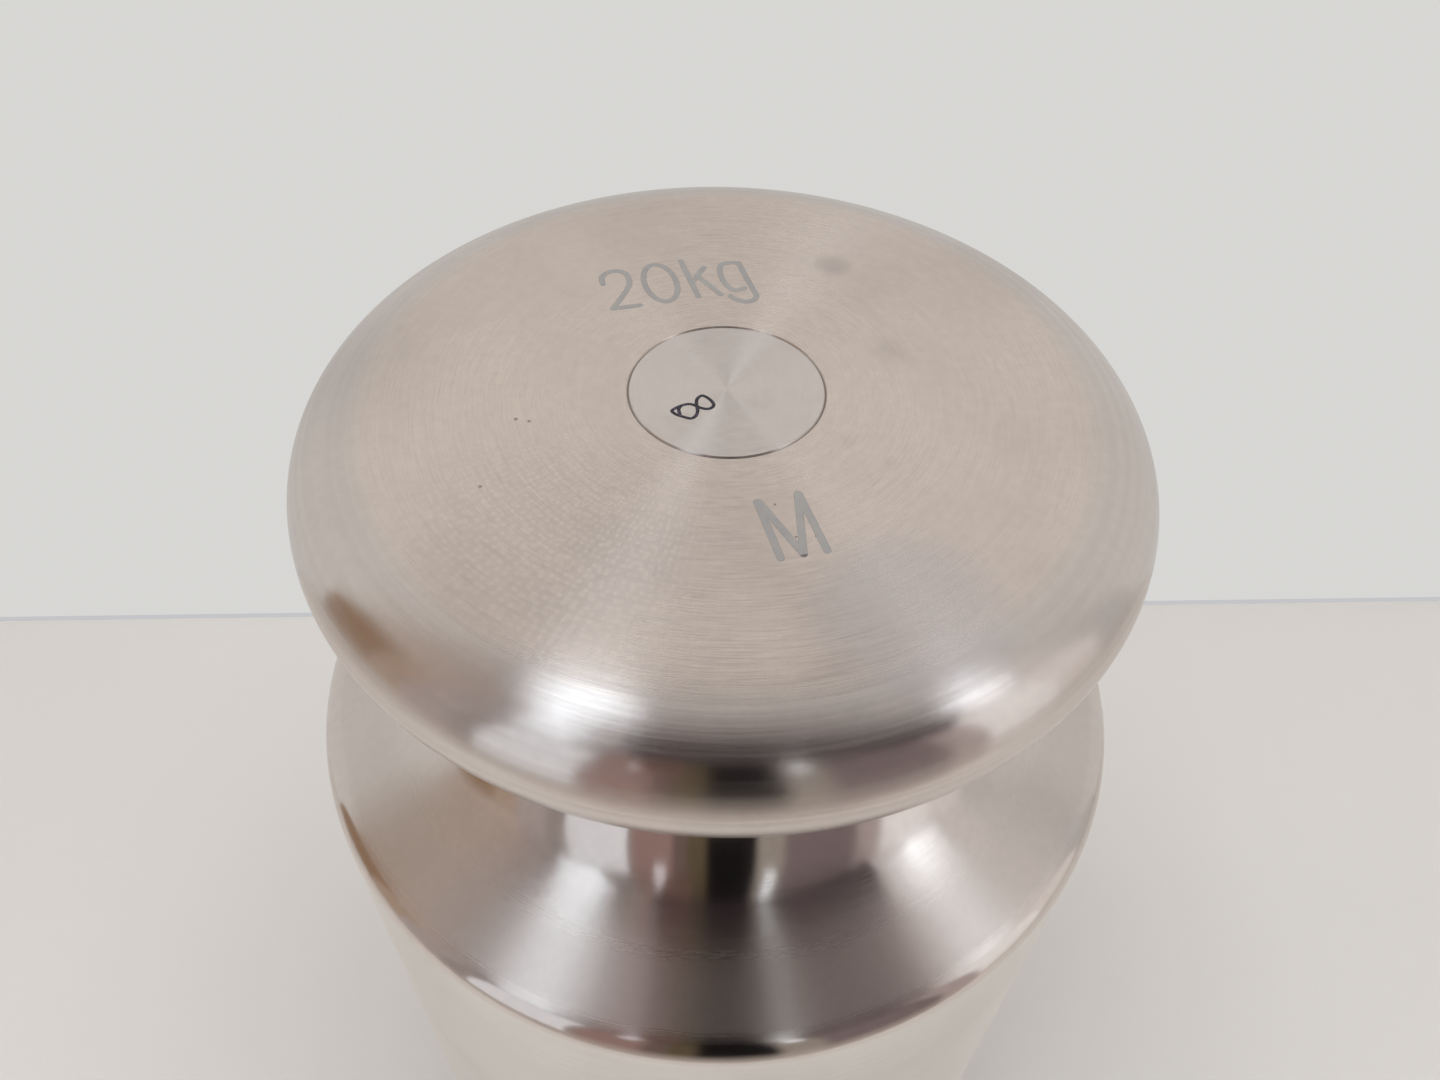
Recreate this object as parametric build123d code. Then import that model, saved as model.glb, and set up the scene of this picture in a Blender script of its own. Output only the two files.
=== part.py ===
from build123d import *
from math import asin, cos, degrees, pi, radians, sin, sqrt, tan
import os

# A 20 kg cylindrical calibration weight with a lifting knob, turned in stainless steel.
#
# Z is the axis of the lathe. The base stands on z = 0 and the knob's flat top is the highest
# face. Sizes are in millimetres and degrees.

# ---- body --------------------------------------------------------------------------------
body_diameter = 128.0
cylinder_height = 164.0  # from the base up to where the shoulder's edge starts to round
base_edge_radius = 3.5
shoulder_edge_radius = 3.5
shoulder_slope = 25.0  # of the cone inside the shoulder's edge, from the horizontal

# ---- neck: one concave round from the shoulder's cone to the knob's underside --------------
neck_diameter = 72.0
neck_round_radius = 18.0

# ---- knob: a flat top, a wide crown round and a tight nose round ---------------------------
knob_diameter = 114.0
knob_crown_radius = 25.0
knob_crown_turn = 28.0  # how far the crown turns down before the nose takes over
knob_nose_radius = 8.0

# ---- adjusting cavity, drilled down the axis under the plug --------------------------------
cavity_diameter = 20.0
cavity_depth = 110.0  # of the full bore, below the plug's seat
drill_point_angle = 118.0

# ---- closing plug, pressed in flush with the knob's top ------------------------------------
seat_step_width = 2.75  # of the step round the cavity that the plug rests on
plug_thickness = 5.0
plug_side_gap = 0.02  # between the plug and the wall of its seat
seam_chamfer = 0.2  # on the plug and on its seat's mouth: the seam is a fine groove
plug_lead_chamfer = 0.8  # on the plug's lower edge, which starts it in the seat

# ---- adjusting shot, loose in the cavity ----------------------------------------------------
shot_diameter = 6.0
shot_gap = 0.1  # from a ball to the cavity, and from ball to ball

# ---- centres of the rounds ------------------------------------------------------------------
# Each round is placed so that it runs on from the last one without a crease.
slope = radians(shoulder_slope)
edge_centre_r = body_diameter / 2 - shoulder_edge_radius
edge_centre_z = cylinder_height

neck_centre_r = neck_diameter / 2 + neck_round_radius
cone_offset = neck_round_radius + shoulder_edge_radius
cone_rise = (cone_offset + (edge_centre_r - neck_centre_r) * sin(slope)) / cos(slope)
neck_centre_z = edge_centre_z + cone_rise

nose_centre_r = knob_diameter / 2 - knob_nose_radius
nose_to_neck = knob_nose_radius + neck_round_radius
underside_tilt = asin((neck_centre_r - nose_centre_r) / nose_to_neck)
nose_centre_z = neck_centre_z + nose_to_neck * cos(underside_tilt)

crown_turn = radians(knob_crown_turn)
crown_to_nose = knob_crown_radius - knob_nose_radius
crown_centre_r = nose_centre_r - crown_to_nose * sin(crown_turn)
crown_centre_z = nose_centre_z - crown_to_nose * cos(crown_turn)
top_z = crown_centre_z + knob_crown_radius

# ---- the plug, its seat and the cavity --------------------------------------------------------
plug_radius = cavity_diameter / 2 + seat_step_width
seat_radius = plug_radius + plug_side_gap
seat_z = top_z - plug_thickness
drill_half_angle = radians(drill_point_angle / 2)
drill_point_height = cavity_diameter / 2 / tan(drill_half_angle)
drill_tip_z = seat_z - cavity_depth - drill_point_height

STANDING = (Align.CENTER, Align.CENTER, Align.MIN)
HANGING = (Align.CENTER, Align.CENTER, Align.MAX)

steel_density = 7.95e-6  # kg per cubic millimetre


def turned_outline():
    """Half of the weight's section in the XZ plane, closed along the axis."""
    cone_side = 90 - shoulder_slope
    underside = 90 + degrees(underside_tilt)
    crown_side = 90 - knob_crown_turn
    neck_turn = 180 + cone_side - underside
    nose_turn = 180 + crown_side - underside
    foot_centre_r = body_diameter / 2 - base_edge_radius

    base = Line((0, 0), (foot_centre_r, 0))
    foot = CenterArc((foot_centre_r, base_edge_radius), base_edge_radius, -90, 90)
    edge = CenterArc((edge_centre_r, edge_centre_z), shoulder_edge_radius, 0, cone_side)
    side = Line(foot @ 1, edge @ 0)
    neck = CenterArc((neck_centre_r, neck_centre_z), neck_round_radius, 180 + cone_side, -neck_turn)
    cone = Line(edge @ 1, neck @ 0)
    nose = CenterArc((nose_centre_r, nose_centre_z), knob_nose_radius, underside - 180, nose_turn)
    crown = CenterArc((crown_centre_r, crown_centre_z), knob_crown_radius, crown_side, knob_crown_turn)
    top = Line(crown @ 1, (0, top_z))
    axis = Line((0, top_z), (0, 0))
    return Plane.XZ * (base + foot + side + edge + cone + neck + nose + crown + top + axis)


def adjusting_bore():
    """What the plug's seat, the cavity and its drill point take out of the turned blank."""
    mouth = Cone(seat_radius, seat_radius + seam_chamfer, seam_chamfer, align=HANGING)
    seat = Cylinder(seat_radius, plug_thickness, align=STANDING)
    cavity = Cylinder(cavity_diameter / 2, cavity_depth, align=HANGING)
    drill_point = Cone(0, cavity_diameter / 2, drill_point_height, align=STANDING)
    bore = Pos(0, 0, top_z) * mouth + Pos(0, 0, seat_z) * (seat + cavity)
    return bore + Pos(0, 0, drill_tip_z) * drill_point


def weight_body():
    """Body, shoulder, neck and knob in one piece, bored from the top for the adjusting cavity."""
    blank = revolve(make_face(turned_outline()), Axis.Z)
    return blank - adjusting_bore()


def closing_plug():
    """The disc that closes the cavity. It rests on the step at the bottom of its seat."""
    disc = Pos(0, 0, seat_z) * Cylinder(plug_radius, plug_thickness, align=STANDING)
    upper_rim = disc.edges().filter_by(GeomType.CIRCLE).sort_by(Axis.Z)[-1]
    disc = chamfer(upper_rim, seam_chamfer)
    lower_rim = disc.edges().filter_by(GeomType.CIRCLE).sort_by(Axis.Z)[0]
    return chamfer(lower_rim, plug_lead_chamfer)


def adjusting_shot():
    """One ball in the drill point, and a ring of balls that lean on it and on the cavity."""
    ball_radius = shot_diameter / 2
    pitch = shot_diameter + shot_gap
    first_z = drill_tip_z + (ball_radius + shot_gap) / sin(drill_half_angle)
    wall_limit = cavity_diameter / 2 - shot_gap - ball_radius
    ring_radius = min(pitch * sin(drill_half_angle), wall_limit)
    ring_z = first_z + sqrt(pitch**2 - ring_radius**2)
    ring_count = int(pi / asin(ball_radius / ring_radius))
    balls = [Pos(0, 0, first_z) * Sphere(ball_radius)]
    for place in PolarLocations(ring_radius, ring_count):
        balls.append(Pos(0, 0, ring_z) * place * Sphere(ball_radius))
    return Compound(children=balls)


nodes = {
    "weight_body": weight_body(),
    "closing_plug": closing_plug(),
    "adjusting_shot": adjusting_shot(),
}

os.makedirs("parts", exist_ok=True)
for name, node in nodes.items():
    export_step(node, f"parts/{name}.step")
    print(f"{name}: {len(node.solids())} solid(s), {node.volume / 1000:.2f} cm3")
steel_mass = sum(node.volume for node in nodes.values()) * steel_density
print(f"knob top at {top_z:.2f} mm, {steel_mass:.3f} kg of steel")
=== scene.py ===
# %% [markdown]
# # A turned steel weight with a lifting knob
#
# This lesson dresses a 20 kg calibration weight: a stainless cylinder whose shoulder runs into a
# narrow neck and a round knob, with a disc pressed flush into the knob's top. Everything visible
# is turned on a lathe, so one tree of geometry nodes makes the big pieces from an outline, and
# the finishes follow rings round the same axis.

# %% The frame and Blender's modules
import math

import bmesh
import bpy
from mathutils import Matrix, Vector


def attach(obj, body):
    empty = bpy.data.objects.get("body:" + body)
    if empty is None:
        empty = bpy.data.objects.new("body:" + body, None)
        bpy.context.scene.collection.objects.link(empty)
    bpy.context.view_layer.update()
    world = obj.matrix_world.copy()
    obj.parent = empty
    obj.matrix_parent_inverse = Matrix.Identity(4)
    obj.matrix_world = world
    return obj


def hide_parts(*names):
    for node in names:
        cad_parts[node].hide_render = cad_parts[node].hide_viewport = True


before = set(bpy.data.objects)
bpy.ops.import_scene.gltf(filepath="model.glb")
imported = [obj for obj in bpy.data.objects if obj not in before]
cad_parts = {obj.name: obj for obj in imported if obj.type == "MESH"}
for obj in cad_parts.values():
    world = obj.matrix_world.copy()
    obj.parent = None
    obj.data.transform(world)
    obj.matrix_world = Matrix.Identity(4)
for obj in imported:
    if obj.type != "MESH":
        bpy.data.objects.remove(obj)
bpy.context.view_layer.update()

# %% [markdown]
# ## The sizes of the turned outline
#
# A turner's drawing gives a few diameters and rounds, and the rest follows from rounds that run
# into each other without a crease. The outline could be traced point by point, but then no size
# could be read or changed. Here each round has a radius and a centre worked out from its
# neighbour, in metres, as the solid model has it.

# %% Sizes of the body, neck, knob and plug
mm = 0.001
body_radius = 64 * mm
cylinder_height = 164 * mm
base_edge_radius = 3.5 * mm
shoulder_edge_radius = 3.5 * mm
shoulder_slope = math.radians(25)
neck_radius = 36 * mm
neck_round_radius = 18 * mm
knob_radius = 57 * mm
knob_crown_radius = 25 * mm
knob_crown_turn = math.radians(28)
knob_nose_radius = 8 * mm
cavity_radius = 10 * mm
cavity_depth = 110 * mm
drill_half_angle = math.radians(59)
plug_radius = 12.75 * mm
plug_side_gap = 0.02 * mm
plug_thickness = 5 * mm
seam_chamfer = 0.2 * mm
plug_lead_chamfer = 0.8 * mm

# %% Centres of the rounds
edge_centre_r = body_radius - shoulder_edge_radius
edge_centre_z = cylinder_height
neck_centre_r = neck_radius + neck_round_radius
cone_offset = neck_round_radius + shoulder_edge_radius
cone_run = edge_centre_r - neck_centre_r
cone_rise = (cone_offset + cone_run * math.sin(shoulder_slope)) / math.cos(shoulder_slope)
neck_centre_z = edge_centre_z + cone_rise
nose_centre_r = knob_radius - knob_nose_radius
nose_to_neck = knob_nose_radius + neck_round_radius
underside_tilt = math.asin((neck_centre_r - nose_centre_r) / nose_to_neck)
nose_centre_z = neck_centre_z + nose_to_neck * math.cos(underside_tilt)
crown_to_nose = knob_crown_radius - knob_nose_radius
crown_centre_r = nose_centre_r - crown_to_nose * math.sin(knob_crown_turn)
crown_centre_z = nose_centre_z - crown_to_nose * math.cos(knob_crown_turn)
top_z = crown_centre_z + knob_crown_radius
print(f"knob top at {top_z * 1000:.2f} mm, flat out to {crown_centre_r * 1000:.2f} mm")

# %% [markdown]
# ## An outline as a line of rings
#
# The outline is half of the section: pairs of radius and height, which the lathe tree turns into
# rings. A flat needs only its two ends, but a few more rings beside each round keep the shading
# of the flat from bending into the round.


# %% Helpers for arcs and flats
def arc(centre_r, centre_z, radius, start, end, steps):
    """Radius and height of points along an arc, with angles in degrees from straight out."""
    points = []
    for i in range(steps + 1):
        turn = math.radians(start + (end - start) * i / steps)
        points.append((centre_r + radius * math.cos(turn), centre_z + radius * math.sin(turn)))
    return points


def flat(start, end, steps):
    """Points between two corners, without the first one."""
    points = []
    for i in range(1, steps + 1):
        share = i / steps
        points.append(tuple(a + (b - a) * share for a, b in zip(start, end)))
    return points


# %% The body's outline, from the drill point up the bore, over the knob and down to the base
def body_outline():
    seat_radius = plug_radius + plug_side_gap
    seat_z = top_z - plug_thickness
    cavity_floor_z = seat_z - cavity_depth
    tip_z = cavity_floor_z - cavity_radius / math.tan(drill_half_angle)
    cone_side = 90 - math.degrees(shoulder_slope)
    underside = 90 + math.degrees(underside_tilt)
    crown_side = 90 - math.degrees(knob_crown_turn)
    inner_rim = (seat_radius + seam_chamfer, top_z)
    edge_start = (body_radius, cylinder_height)

    line = [(0, tip_z), (cavity_radius, cavity_floor_z), (cavity_radius, seat_z)]
    line += [(seat_radius, seat_z), (seat_radius, top_z - seam_chamfer), inner_rim]
    line += flat(inner_rim, (crown_centre_r, top_z), steps=24)[:-1]
    line += arc(crown_centre_r, crown_centre_z, knob_crown_radius, 90, crown_side, steps=20)
    nose_end = underside - 180
    line += arc(nose_centre_r, nose_centre_z, knob_nose_radius, crown_side, nose_end, steps=40)[1:]
    neck_end = 180 + cone_side
    neck = arc(neck_centre_r, neck_centre_z, neck_round_radius, underside, neck_end, steps=44)
    line += neck[1:]
    edge = arc(edge_centre_r, edge_centre_z, shoulder_edge_radius, cone_side, 0, steps=16)
    line += flat(neck[-1], edge[0], steps=4)
    line += edge[1:]
    foot_centre_r = body_radius - base_edge_radius
    foot = arc(foot_centre_r, base_edge_radius, base_edge_radius, 0, -90, steps=10)
    line += flat(edge_start, foot[0], steps=12)
    line += foot[1:]
    line += flat(foot[-1], (0, 0), steps=6)
    return line


def plug_outline():
    seat_z = top_z - plug_thickness
    lead_r = plug_radius - plug_lead_chamfer
    inner_rim = (plug_radius - seam_chamfer, top_z)
    line = flat((0, top_z), inner_rim, steps=8)
    line += [(plug_radius, top_z - seam_chamfer), (plug_radius, seat_z + plug_lead_chamfer)]
    line += [(lead_r, seat_z), (0, seat_z)]
    return [(0, top_z)] + line


print(f"body outline: {len(body_outline())} rings, plug outline: {len(plug_outline())} rings")

# %% [markdown]
# ## A lathe made of geometry nodes
#
# Blender can turn a profile with the Spin tool or the Screw modifier. Both leave a seam and
# doubled points at the axis. This tree starts from a grid instead. Each row of the grid takes
# its radius and height from one point of the outline, and each column stands at its own angle.
# The columns run clockwise, seen from above, so that the faces point outwards. Points that meet
# on the axis and along the seam are then merged, and edges sharper than a limit, such as the
# chamfers of the seam, stay crisp.


# %% Small helpers for wiring nodes
canvas_step = 190


def link(tree, output, socket):
    tree.links.new(output, socket)


def give(tree, socket, value):
    """Wires the socket to an output, or sets its own value."""
    if hasattr(value, "is_linked"):
        link(tree, value, socket)
    else:
        socket.default_value = value


def node(tree, kind, place, **values):
    made = tree.nodes.new(kind)
    made.location = (place[0] * canvas_step, -place[1] * canvas_step)
    for key, value in values.items():
        setattr(made, key, value)
    return made


def math_node(tree, operation, place, *inputs):
    made = node(tree, "ShaderNodeMath", place, operation=operation)
    for socket, value in zip(made.inputs, inputs):
        give(tree, socket, value)
    return made.outputs[0]


def in_line(tree, *nodes):
    """Wires each node's first output to the first input of the next."""
    for before, after in zip(nodes, nodes[1:]):
        link(tree, before.outputs[0], after.inputs[0])


def set_inputs(made, **values):
    """Gives the node's inputs their values or wires, each named in plain words."""
    for name, value in values.items():
        give(made.id_data, made.inputs[name.replace("_", " ")], value)


def times(tree, place, first, second):
    return math_node(tree, "MULTIPLY", place, first, second)


def add_sockets(tree, side, **sockets):
    """Gives the tree its inputs or outputs, each named in plain words."""
    for name, kind in sockets.items():
        label = name.replace("_", " ")
        tree.interface.new_socket(label, in_out=side, socket_type="NodeSocket" + kind)


# %% The lathe tree
def lathe_tree():
    tree = bpy.data.node_groups.new("turn on the lathe", "GeometryNodeTree")
    add_sockets(tree, "INPUT", Outline="Geometry", Steps_Round="Int")
    add_sockets(tree, "INPUT", Merge_Distance="Float", Crisp_Above="Float", Finish="Material")
    add_sockets(tree, "OUTPUT", Piece="Geometry")
    given = node(tree, "NodeGroupInput", (0, 0)).outputs
    result = node(tree, "NodeGroupOutput", (11, 0))
    rings = node(tree, "GeometryNodeAttributeDomainSize", (1, 0))
    set_inputs(rings, Geometry=given["Outline"])
    count = rings.outputs["Point Count"]
    columns = math_node(tree, "ADD", (1, 1), given["Steps Round"], 1)
    grid = node(tree, "GeometryNodeMeshGrid", (2, 0))
    set_inputs(grid, Vertices_X=columns, Vertices_Y=count)

    index = node(tree, "GeometryNodeInputIndex", (2, 2))
    whole_rings = math_node(tree, "DIVIDE", (3, 2), index.outputs[0], count)
    column = math_node(tree, "FLOOR", (4, 2), whole_rings)
    ring = math_node(tree, "MODULO", (3, 3), index.outputs[0], count)
    share = math_node(tree, "DIVIDE", (5, 2), column, given["Steps Round"])
    angle = times(tree, (6, 2), share, -2 * math.pi)
    place = node(tree, "GeometryNodeInputPosition", (3, 4))
    at_ring = node(tree, "GeometryNodeSampleIndex", (4, 4), data_type="FLOAT_VECTOR")
    set_inputs(at_ring, Geometry=given["Outline"], Value=place.outputs[0], Index=ring)
    parts = node(tree, "ShaderNodeSeparateXYZ", (5, 4))
    link(tree, at_ring.outputs["Value"], parts.inputs[0])
    radius = parts.outputs["X"]
    across = times(tree, (8, 2), radius, math_node(tree, "COSINE", (7, 2), angle))
    along = times(tree, (8, 3), radius, math_node(tree, "SINE", (7, 3), angle))
    spot = node(tree, "ShaderNodeCombineXYZ", (9, 2))
    set_inputs(spot, X=across, Y=along, Z=parts.outputs["Z"])

    moved = node(tree, "GeometryNodeSetPosition", (6, 0))
    set_inputs(moved, Position=spot.outputs[0])
    merged = node(tree, "GeometryNodeMergeByDistance", (7, 0))
    set_inputs(merged, Distance=given["Merge Distance"])
    smooth = node(tree, "GeometryNodeSetShadeSmooth", (8, 0))
    bend = node(tree, "GeometryNodeInputMeshEdgeAngle", (7, 1))
    over = node(tree, "FunctionNodeCompare", (8, 1), operation="GREATER_THAN")
    set_inputs(over, A=bend.outputs["Unsigned Angle"], B=given["Crisp Above"])
    crisp = node(tree, "GeometryNodeSetShadeSmooth", (9, 0), domain="EDGE")
    set_inputs(crisp, Selection=over.outputs["Result"], Shade_Smooth=False)
    real = node(tree, "GeometryNodeRealizeInstances", (10, 0))
    finish = node(tree, "GeometryNodeSetMaterial", (10, 1))
    set_inputs(finish, Material=given["Finish"])
    in_line(tree, grid, moved, merged, smooth, crisp, real, finish, result)
    return tree


lathe = lathe_tree()
print(f"lathe tree: {len(lathe.nodes)} nodes")


# %% Setting inputs, and keeping the result as a plain mesh
def add_object(name, data):
    """Puts an object with this mesh, lamp or camera data into the scene."""
    made = bpy.data.objects.new(name, data)
    bpy.context.scene.collection.objects.link(made)
    return made


def add_tree(piece, tree, **inputs):
    """Puts the tree on the piece with these inputs, each named in plain words."""
    modifier = piece.modifiers.new(tree.name, "NODES")
    modifier.node_group = tree
    sockets = {s.name: s.identifier for s in tree.interface.items_tree if s.in_out == "INPUT"}
    for name, value in inputs.items():
        modifier[sockets[name.replace("_", " ")]] = value
    return modifier


def keep_as_mesh(piece, name):
    """Reads the evaluated piece into a plain mesh object and drops the source."""
    graph = bpy.context.evaluated_depsgraph_get()
    mesh = bpy.data.meshes.new_from_object(piece.evaluated_get(graph), depsgraph=graph)
    mesh.name = name
    bpy.data.objects.remove(piece)
    kept = add_object(name, mesh)
    mesh.calc_loop_triangles()
    print(f"{name}: {len(mesh.vertices)} points, {len(mesh.loop_triangles)} triangles")
    return kept


def volume_of(mesh):
    solid = bmesh.new()
    solid.from_mesh(mesh)
    volume = solid.calc_volume(signed=True)
    solid.free()
    return volume


steps_round = 360
merge_distance = 0.001 * mm
crisp_above = math.radians(28)


def turn(name, outline, material):
    """Makes one turned piece from its outline."""
    points = [(r, 0, z) for r, z in outline]
    edges = [(i, i + 1) for i in range(len(outline) - 1)]
    line = bpy.data.meshes.new(name)
    line.from_pydata(points, edges, [])
    blank = add_object(name + "_outline", line)
    add_tree(
        blank,
        lathe,
        Steps_Round=steps_round,
        Merge_Distance=merge_distance,
        Crisp_Above=crisp_above,
        Finish=material,
    )
    piece = keep_as_mesh(blank, name)
    print(f"{name}: {volume_of(piece.data) * 1e6:.1f} cm3 inside its faces")
    return piece


# %% [markdown]
# ## Effects that several finishes share
#
# Turning leaves fine rings whose spacing wanders a little. A picture of rings would blur close
# up, so a noise is stretched along each ring: it reads the radius and the height closely and the
# direction round the axis only loosely. A tool that shakes leaves rows of dimples, handling
# leaves soft smudges, small knocks leave pits, and dirt stays in the seam round the plug. Each
# is a group, so every finish uses the same one with its own values.


# %% Making a shader group
def shader_group(name, output, **inputs):
    """A group with one number out. Each input is a start value, and None stands for a place."""
    tree = bpy.data.node_groups.new(name, "ShaderNodeTree")
    for label, value in inputs.items():
        label = label.replace("_", " ")
        kind = "NodeSocketVector" if value is None else "NodeSocketFloat"
        socket = tree.interface.new_socket(label, in_out="INPUT", socket_type=kind)
        if value is not None:
            socket.default_value = value
    add_sockets(tree, "OUTPUT", **{output: "Float"})
    given = node(tree, "NodeGroupInput", (0, 0))
    result = node(tree, "NodeGroupOutput", (12, 0))
    return tree, given.outputs, result.inputs[output]


def place_parts(tree, place):
    """The place's x, y and z, and its distance from the turned axis."""
    parts = node(tree, "ShaderNodeSeparateXYZ", (1, 0))
    link(tree, place, parts.inputs[0])
    x, y, z = parts.outputs
    x_squared = times(tree, (2, 0), x, x)
    y_squared = times(tree, (2, 1), y, y)
    squares = math_node(tree, "ADD", (3, 0), x_squared, y_squared)
    return x, y, z, math_node(tree, "SQRT", (4, 0), squares)


def fade_between(tree, place, value, start, end, low=0.0, high=1.0):
    """Runs smoothly from low to high while the value runs from start to end."""
    made = node(tree, "ShaderNodeMapRange", place, interpolation_type="SMOOTHSTEP")
    set_inputs(made, Value=value, From_Min=start, From_Max=end, To_Min=low, To_Max=high)
    return made.outputs["Result"]


# %% Turning lines: a noise stretched along the rings
smallest_radius = 0.001 * mm


def turning_lines_group():
    tree, given, result = shader_group(
        "turning lines", "Lines", Place=None, Spacing=0.4 * mm, Wander=0.6
    )
    spacing = given["Spacing"]
    wander = given["Wander"]
    x, y, z, radius = place_parts(tree, given["Place"])
    radius = math_node(tree, "MAXIMUM", (5, 0), radius, smallest_radius)
    toward_x = times(tree, (7, 1), math_node(tree, "DIVIDE", (6, 1), x, radius), wander)
    toward_y = times(tree, (7, 2), math_node(tree, "DIVIDE", (6, 2), y, radius), wander)
    outward = math_node(tree, "DIVIDE", (6, 0), radius, spacing)
    upward = math_node(tree, "DIVIDE", (6, 3), z, spacing)
    place = node(tree, "ShaderNodeCombineXYZ", (8, 0))
    set_inputs(place, X=outward, Y=upward, Z=toward_x)
    noise = node(tree, "ShaderNodeTexNoise", (9, 0), noise_dimensions="4D")
    set_inputs(noise, Vector=place.outputs[0], W=toward_y, Scale=1, Detail=2)
    link(tree, noise.outputs["Fac"], result)
    return tree


# %% Soft clouds of wear
def clouds_group():
    tree, given, result = shader_group(
        "soft clouds", "Mask", Place=None, Size=10 * mm, From=0.4, To=0.7
    )
    scale = math_node(tree, "DIVIDE", (1, 1), 1, given["Size"])
    noise = node(tree, "ShaderNodeTexNoise", (2, 0))
    set_inputs(noise, Vector=given["Place"], Scale=scale, Detail=3)
    mask = fade_between(tree, (3, 0), noise.outputs["Fac"], given["From"], given["To"])
    link(tree, mask, result)
    return tree


# %% A single round spot
def spot_group():
    tree, given, result = shader_group(
        "single spot", "Mask", Place=None, Centre=None, Size=1 * mm, Soft=0.5
    )
    away = node(tree, "ShaderNodeVectorMath", (1, 0), operation="DISTANCE")
    link(tree, given["Place"], away.inputs[0])
    link(tree, given["Centre"], away.inputs[1])
    firm = math_node(tree, "SUBTRACT", (1, 1), 1, given["Soft"])
    inner = times(tree, (2, 1), given["Size"], firm)
    mask = fade_between(tree, (3, 0), away.outputs["Value"], inner, given["Size"], 1, 0)
    link(tree, mask, result)
    return tree


# %% Chatter: rows of small dimples that a shaking tool leaves
chatter_radius = 35 * mm
dimple_edges = (0.15, 0.45)


def chatter_group():
    tree, given, result = shader_group(
        "tool chatter", "Dimples", Place=None, Row=1.1 * mm, Step=1.2 * mm
    )
    x, y, z, radius = place_parts(tree, given["Place"])
    angle = math_node(tree, "ARCTAN2", (2, 2), y, x)
    run = times(tree, (5, 1), angle, chatter_radius)
    rows = math_node(tree, "DIVIDE", (6, 0), radius, given["Row"])
    steps = math_node(tree, "DIVIDE", (6, 1), run, given["Step"])
    place = node(tree, "ShaderNodeCombineXYZ", (7, 0))
    set_inputs(place, X=rows, Y=steps)
    cells = node(tree, "ShaderNodeTexVoronoi", (8, 0), voronoi_dimensions="2D")
    cells.feature = "SMOOTH_F1"
    set_inputs(cells, Vector=place.outputs[0], Scale=1, Randomness=0.45)
    link(tree, fade_between(tree, (9, 0), cells.outputs["Distance"], *dimple_edges), result)
    return tree


# %% Grime that gathers in the seam round the plug
def seam_group():
    tree, given, result = shader_group(
        "seam grime", "Mask", Place=None, Radius=10 * mm, Half_Width=0.2 * mm
    )
    x, y, z, radius = place_parts(tree, given["Place"])
    away = math_node(tree, "SUBTRACT", (5, 0), radius, given["Radius"])
    away = math_node(tree, "ABSOLUTE", (6, 0), away)
    link(tree, fade_between(tree, (8, 0), away, 0, given["Half Width"], 1, 0), result)
    return tree


turning_lines = turning_lines_group()
soft_clouds = clouds_group()
single_spot = spot_group()
tool_chatter = chatter_group()
seam_grime = seam_group()
groups = (turning_lines, soft_clouds, single_spot, tool_chatter, seam_grime)
print("groups:", ", ".join(group.name for group in groups))


# %% Helpers that place groups and shaders in a material
groove_pull = 0.95
grooves_round_axis = 0.25


def use_group(tree, group, place, **inputs):
    made = node(tree, "ShaderNodeGroup", place, node_tree=group)
    set_inputs(made, **inputs)
    return made.outputs[0]


def new_material(name):
    """A material with its shader, and the place that its patterns read."""
    material = bpy.data.materials.new(name)
    material.use_nodes = True
    tree = material.node_tree
    shader = tree.nodes["Principled BSDF"]
    shader.location = (14 * canvas_step, 0)
    tree.nodes["Material Output"].location = (16 * canvas_step, 0)
    place = node(tree, "ShaderNodeTexCoord", (0, 0)).outputs["Object"]
    return material, tree, shader, place


def mix_colour(tree, place, share, first, second):
    made = node(tree, "ShaderNodeMix", place, data_type="RGBA")
    give(tree, made.inputs["Factor"], share)
    colours = [s for s in made.inputs if s.type == "RGBA"]
    for socket, value in zip(colours, (first, second)):
        give(tree, socket, value if hasattr(value, "is_linked") else (*value, 1))
    return [s for s in made.outputs if s.type == "RGBA"][0]


def tint(tree, place, tone, mask, share, colour):
    """Mixes this share of the colour into the tone where the mask is white."""
    column, row = place
    masked = times(tree, (column - 1, row + 1), mask, share)
    return mix_colour(tree, place, masked, tone, colour)


def follow_rings(shader):
    """Makes bare metal scatter light across the grooves, which run round the axis."""
    set_inputs(shader, Metallic=1, Anisotropic=groove_pull, Anisotropic_Rotation=grooves_round_axis)


def add_bump(tree, shader, height, strength, distance):
    bump = node(tree, "ShaderNodeBump", (11, 4))
    set_inputs(bump, Height=height, Strength=strength, Distance=distance)
    set_inputs(shader, Normal=bump.outputs[0])


# %% [markdown]
# ## The steel of the body
#
# One bar of stainless steel has several finishes here. The flat top is fine brushed in rings,
# the rim is polished over coarser bands, the neck is bright, the cone is satin and the cylinder
# is ground. Separate materials would leave hard borders, so one material changes its roughness,
# tone and relief with the height. Brushing scatters light across its grooves far more than along
# them: the shader's anisotropy does that, and it draws the bright streaks on the knob.

# %% Steel colours
warm_steel = (0.845, 0.725, 0.65)
polished_steel = (0.735, 0.665, 0.62)
plug_tone = (0.81, 0.735, 0.69)
smudge_tone = (0.54, 0.48, 0.45)
haze_tone = (0.60, 0.57, 0.59)
cool_steel = (0.72, 0.66, 0.615)
side_steel = (0.87, 0.84, 0.795)
# the marks of use and the painted shade on the knob's left share this tone
mark_and_shade_tone = (0.30, 0.27, 0.26)
grime_tone = (0.16, 0.14, 0.13)

# %% Heights between which one finish runs into the next
knob_border = (206.5 * mm, 208.5 * mm)
neck_border = (170.0 * mm, 175.2 * mm)
edge_border = (166.8 * mm, 168.0 * mm)
side_border = (163.5 * mm, 165.5 * mm)
flat_border = (top_z - 1.3 * mm, top_z - 0.25 * mm)

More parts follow.
